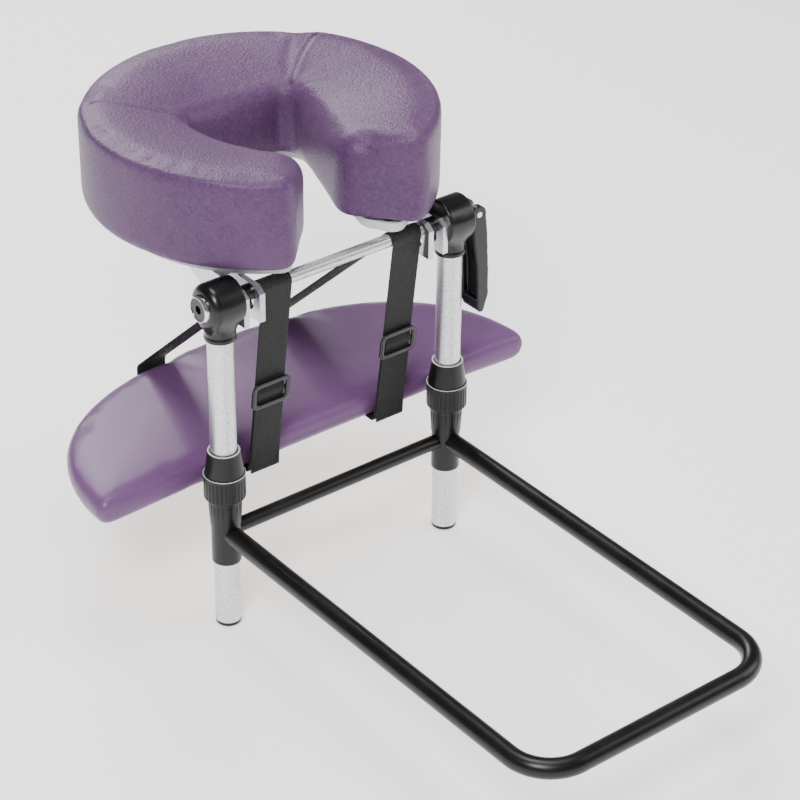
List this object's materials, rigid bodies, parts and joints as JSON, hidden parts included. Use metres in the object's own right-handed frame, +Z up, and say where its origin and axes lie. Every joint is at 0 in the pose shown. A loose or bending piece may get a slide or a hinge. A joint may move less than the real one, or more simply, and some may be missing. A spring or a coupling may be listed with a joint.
{
  "type": "mattress-edge massage face cradle",
  "caption": "Horseshoe face cushion on a tilting, height-adjustable bracket with a webbing-hung padded arm shelf; a bent tube frame slides under a mattress.",
  "frame": {"origin": "midway between the two posts, level with the underside of the tube frame that lies under the mattress", "axes": "+Z up, +X along the crossbar towards the clamping lever, +Y from the mattress towards the user; the frame reaches under the mattress along -Y"},
  "size_m": [0.524, 0.7665, 0.4766],
  "materials": {
    "black_powder_coat": "satin",
    "post_aluminium": "satin",
    "bracket_aluminium": "satin",
    "collar_plastic": "satin",
    "collet_nylon": "matte",
    "head_plastic": "satin",
    "steel": "satin",
    "bright_steel": "polished",
    "buckle_steel": "gloss",
    "platform_plastic": "matte",
    "tape_fabric": "matte",
    "cushion_cover": "matte",
    "shelf_cover": "satin",
    "board_plywood": "matte",
    "webbing": "matte"
  },
  "bodies": {
    "base": {"u_frame": "black_powder_coat", "back_bar": "black_powder_coat", "left_sleeve": "black_powder_coat", "right_sleeve": "black_powder_coat", "left_collar_body": "collar_plastic", "right_collar_body": "collar_plastic", "left_collet": "collet_nylon", "right_collet": "collet_nylon"},
    "left_nut": {"left_lock_nut": "collar_plastic"},
    "right_nut": {"right_lock_nut": "collar_plastic"},
    "mast": {"left_post": "post_aluminium", "right_post": "post_aluminium", "left_foot_plug": "collar_plastic", "right_foot_plug": "collar_plastic", "left_head": "head_plastic", "right_head": "head_plastic", "left_pivot_bush": "head_plastic", "right_pivot_bush": "head_plastic", "crossbar": "post_aluminium", "tie_rod": "steel", "rod_nut": "head_plastic", "rod_nut_ring": "bright_steel", "cam_washer": "steel"},
    "lever": {"cam_lever": "head_plastic", "lever_pin": "bright_steel"},
    "cradle": {"left_tilt_bracket": "bracket_aluminium", "right_tilt_bracket": "bracket_aluminium", "platform": "platform_plastic", "platform_screws": "steel", "hook_tape": "tape_fabric"},
    "cushion": {"face_cushion": "cushion_cover", "loop_tape": "tape_fabric"},
    "shelf": {"shelf_board": "board_plywood", "shelf_pad": "shelf_cover", "left_strap": "webbing", "right_strap": "webbing"},
    "left_buckle": {"left_tri_glide": "buckle_steel"},
    "right_buckle": {"right_tri_glide": "buckle_steel"}
  },
  "joints": [
    {"name": "left_nut_turn", "type": "hinge", "parent": "base", "child": "left_nut", "pos_m": [-0.135, 0, 0.075], "axis": [0, 0, 1], "range_deg": [0, 100]},
    {"name": "right_nut_turn", "type": "hinge", "parent": "base", "child": "right_nut", "pos_m": [0.135, 0, 0.075], "axis": [0, 0, 1], "range_deg": [0, 100]},
    {"name": "post_slide", "type": "slide", "parent": "base", "child": "mast", "axis": [0, 0, 1], "range_m": [-0.1, 0.065]},
    {"name": "lever_turn", "type": "hinge", "parent": "mast", "child": "lever", "pos_m": [0.1606, 0, 0.2605], "axis": [0, -1, 0], "range_deg": [0, 100]},
    {"name": "cradle_tilt", "type": "hinge", "parent": "mast", "child": "cradle", "pos_m": [0, 0, 0.2605], "axis": [1, 0, 0], "range_deg": [-20, 45]},
    {"name": "cushion_lift", "type": "slide", "parent": "cradle", "child": "cushion", "axis": [0, 0, 1], "range_m": [0, 0.06]},
    {"name": "shelf_swing", "type": "hinge", "parent": "mast", "child": "shelf", "pos_m": [0, 0, 0.2605], "axis": [1, 0, 0], "range_deg": [0, 25]},
    {"name": "left_buckle_slide", "type": "slide", "parent": "shelf", "child": "left_buckle", "axis": [0, -0.131, 0.9914], "range_m": [0, 0.04]},
    {"name": "right_buckle_slide", "type": "slide", "parent": "shelf", "child": "right_buckle", "axis": [0, -0.131, 0.9914], "range_m": [0, 0.04]}
  ]
}
